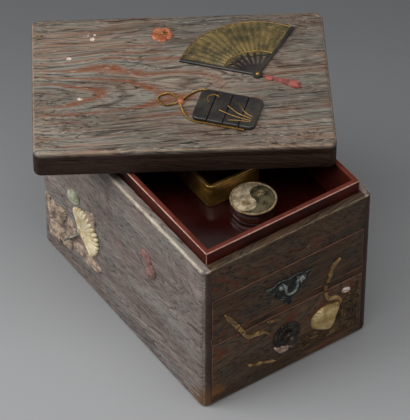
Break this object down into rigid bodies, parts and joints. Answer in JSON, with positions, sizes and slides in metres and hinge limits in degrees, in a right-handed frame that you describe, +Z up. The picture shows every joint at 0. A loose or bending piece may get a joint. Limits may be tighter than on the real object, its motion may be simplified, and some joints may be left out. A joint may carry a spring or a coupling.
{
  "type": "casket",
  "caption": "Weathered wood casket with a lacquer lift-out tray, a loose lid, drawers with metal pulls, inlays, a round incense box and an open gold box.",
  "frame": {"origin": "middle of the case's underside, on the surface it stands on", "axes": "+X to the right seen from the front, +Y from the front to the back, +Z up"},
  "size_m": [0.3492, 0.3727, 0.237],
  "materials": {
    "weathered_wood": "dark weathered wood with raised grain, matt",
    "lid_wood": "grey-brown weathered wood with raised grain, matt",
    "drawer_wood": "plain planed wood, matt",
    "red_lacquer": "deep red-brown lacquer on wood, gloss",
    "brown_lacquer": "dark brown lacquer on wood, gloss",
    "black_lacquer": "black lacquer on wood, satin",
    "gold_lacquer": "gold lacquer on wood, satin",
    "gold_inlay": "aged gold, satin",
    "silver": "aged silver, satin",
    "black_iron": "blackened metal, worn satin",
    "ivory": "cream ceramic, satin",
    "green_glaze": "pale green ceramic, satin",
    "leaf_glaze": "taupe ceramic, satin",
    "brick_glaze": "brick-red ceramic, satin",
    "coral_glaze": "coral-orange ceramic, satin",
    "olive_glaze": "olive and brown ceramic, satin",
    "pearl": "pinkish shell, satin"
  },
  "bodies": {
    "case": {"case_left_side": "weathered_wood", "case_right_side": "weathered_wood", "case_back": "weathered_wood", "case_bottom": "weathered_wood", "case_front_band": "weathered_wood", "tray_shelf": "drawer_wood", "divider_rail": "weathered_wood", "dust_board": "drawer_wood", "side_flower": "ivory", "side_flower_hub": "green_glaze", "side_bud": "green_glaze", "side_foliage": "leaf_glaze", "side_leaf_small": "leaf_glaze", "side_gourd": "brick_glaze"},
    "tray": {"tray_floor": "red_lacquer", "tray_right_wall": "red_lacquer", "tray_left_wall": "red_lacquer", "tray_back_wall": "red_lacquer", "tray_front_wall": "red_lacquer"},
    "lid": {"lid_board": "lid_wood", "lid_right_wall": "lid_wood", "lid_left_wall": "lid_wood", "lid_back_wall": "lid_wood", "lid_front_wall": "lid_wood", "lid_fan_leaf": "olive_glaze", "lid_fan_sticks": "weathered_wood", "lid_fan_tassel": "brick_glaze", "lid_pillbox": "black_lacquer", "lid_pillbox_cord": "gold_inlay", "lid_blossom": "coral_glaze"},
    "upper_drawer": {"upper_drawer_front": "weathered_wood", "upper_drawer_left": "drawer_wood", "upper_drawer_right": "drawer_wood", "upper_drawer_back": "drawer_wood", "upper_drawer_bottom": "drawer_wood", "handle_plate": "black_iron", "handle_eye_left": "black_iron", "handle_eye_right": "black_iron", "upper_drawer_seaweed_left": "gold_inlay", "upper_drawer_seaweed_right": "gold_inlay"},
    "handle_bail": {"handle_bail": "black_iron"},
    "lower_drawer": {"lower_drawer_front": "weathered_wood", "lower_drawer_left": "drawer_wood", "lower_drawer_right": "drawer_wood", "lower_drawer_back": "drawer_wood", "lower_drawer_bottom": "drawer_wood", "knob_rosette": "black_iron", "knob": "black_iron", "lower_drawer_seaweed_left": "gold_inlay", "lower_drawer_seaweed_right": "gold_inlay", "gold_shell": "gold_inlay", "pink_shell": "pearl", "white_shell": "ivory", "gold_twig": "gold_inlay"},
    "incense_box": {"incense_box_base": "brown_lacquer"},
    "incense_box_lid": {"incense_box_lid": "brown_lacquer", "incense_box_rim": "silver", "incense_box_light_inlay": "silver", "incense_box_dark_inlay": "olive_glaze"},
    "gold_box": {"gold_box": "gold_lacquer"}
  },
  "joints": [
    {"name": "tray_lift", "type": "slide", "parent": "case", "child": "tray", "axis": [0, 0, 1], "range_m": [0, 0.06]},
    {"name": "lid_lift", "type": "slide", "parent": "tray", "child": "lid", "axis": [0, 0, 1], "range_m": [0, 0.12]},
    {"name": "incense_box_lift", "type": "slide", "parent": "tray", "child": "incense_box", "axis": [-0.3199, -0.519, 0.7926], "range_m": [0, 0.075]},
    {"name": "incense_box_lid_lift", "type": "slide", "parent": "incense_box", "child": "incense_box_lid", "axis": [0, 0, 1], "range_m": [0, 0.02]},
    {"name": "gold_box_lift", "type": "slide", "parent": "tray", "child": "gold_box", "axis": [0, 0, 1], "range_m": [0, 0.016]},
    {"name": "upper_drawer_slide", "type": "slide", "parent": "case", "child": "upper_drawer", "axis": [0, -1, 0], "range_m": [0, 0.19]},
    {"name": "bail_hinge", "type": "hinge", "parent": "upper_drawer", "child": "handle_bail", "pos_m": [0, -0.1525, 0.125], "axis": [-1, 0, 0], "range_deg": [0, 150]},
    {"name": "lower_drawer_slide", "type": "slide", "parent": "case", "child": "lower_drawer", "axis": [0, -1, 0], "range_m": [0, 0.19]}
  ]
}
